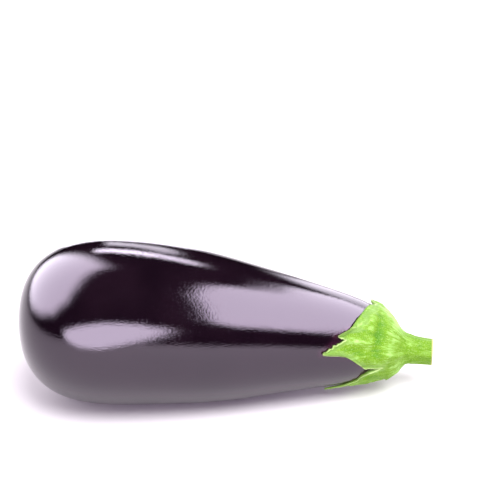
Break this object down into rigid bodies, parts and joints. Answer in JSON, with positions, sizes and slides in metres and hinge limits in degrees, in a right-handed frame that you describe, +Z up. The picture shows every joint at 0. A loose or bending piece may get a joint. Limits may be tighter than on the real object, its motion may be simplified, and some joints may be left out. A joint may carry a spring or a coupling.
{
  "type": "eggplant",
  "caption": "Long globe eggplant lying on its side: dark purple pear-shaped fruit, a green lobed calyx hugging its crown, and a short cut stem.",
  "frame": {"origin": "middle of the bounding box at table height, under the fruit as it lies", "axes": "+X along the fruit towards its stem, +Z up, -Y towards the side shown in front"},
  "size_m": [0.222, 0.088, 0.0882],
  "materials": {
    "skin": "smooth waxy gloss, almost black purple",
    "calyx": "fleshy bright green, faintly downy",
    "stem": "ribbed pale green with a dry cut end"
  },
  "bodies": {
    "root": {"fruit": "skin", "calyx": "calyx", "stem": "stem"}
  },
  "joints": []
}
